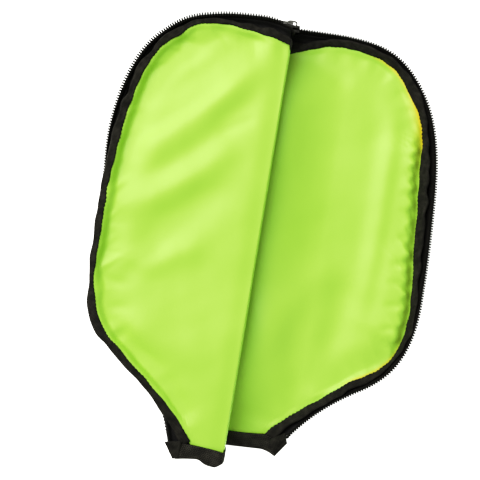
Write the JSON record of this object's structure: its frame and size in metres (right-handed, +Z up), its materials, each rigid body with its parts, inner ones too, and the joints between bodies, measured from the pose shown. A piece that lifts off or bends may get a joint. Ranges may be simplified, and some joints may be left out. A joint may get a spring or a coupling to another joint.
{
  "type": "paddle case",
  "caption": "Zip-round padded case for a paddle's head with an open neck, lying open with half of its front panel folded back to show the satin lining.",
  "frame": {"origin": "middle of the plan box, on the surface the case lies on", "axes": "+Y from the neck to the crown, +Z up out of the back panel, +X to the open side"},
  "size_m": [0.2282, 0.3004, 0.0347],
  "materials": {
    "shell_fabric": "matt woven polyester",
    "foam": "closed-cell foam sheet",
    "lining_satin": "bright satin",
    "binding_tape": "ribbed woven tape",
    "zip_tape": "woven herringbone tape",
    "zip_coil": "satin nylon",
    "twill_tape": "twill tape",
    "nickel": "polished nickel plate"
  },
  "bodies": {
    "back": {"back_outer_shell": "shell_fabric", "front_left_outer_shell": "shell_fabric", "side_gusset": "shell_fabric", "back_foam": "foam", "front_left_foam": "foam", "back_lining": "lining_satin", "front_left_lining": "lining_satin", "back_rim_binding": "binding_tape", "front_left_rim_binding": "binding_tape", "back_zip_tape": "zip_tape", "front_left_zip_tape": "zip_tape", "back_zip_end_tab": "zip_tape", "back_zip_coil": "zip_coil", "front_left_zip_coil": "zip_coil", "back_neck_tape": "twill_tape", "front_left_neck_tape": "twill_tape", "back_zip_end_stop": "nickel", "zip_bottom_stop": "nickel"},
    "flap": {"flap_outer_shell": "shell_fabric", "flap_foam": "foam", "flap_lining": "lining_satin", "flap_rim_binding": "binding_tape", "flap_zip_tape": "zip_tape", "flap_zip_end_tab": "zip_tape", "flap_zip_coil": "zip_coil", "flap_neck_tape": "twill_tape", "flap_zip_end_stop": "nickel"},
    "slider": {"slider_body": "nickel", "slider_bridge": "nickel"},
    "pull": {"pull_tab": "nickel"}
  },
  "joints": [
    {"name": "flap_fold", "type": "hinge", "parent": "back", "child": "flap", "pos_m": [0, 0, 0.02415], "axis": [0, 1, 0], "range_deg": [0, 180]},
    {"name": "slider_travel", "type": "hinge", "parent": "back", "child": "slider", "pos_m": [0, -0.2742, 0.012], "axis": [0, 0, 1], "range_deg": [0, 7]},
    {"name": "pull_swing", "type": "hinge", "parent": "slider", "child": "pull", "pos_m": [0, 0.148, 0.012], "axis": [0, 0, -1], "range_deg": [0, 180]}
  ]
}
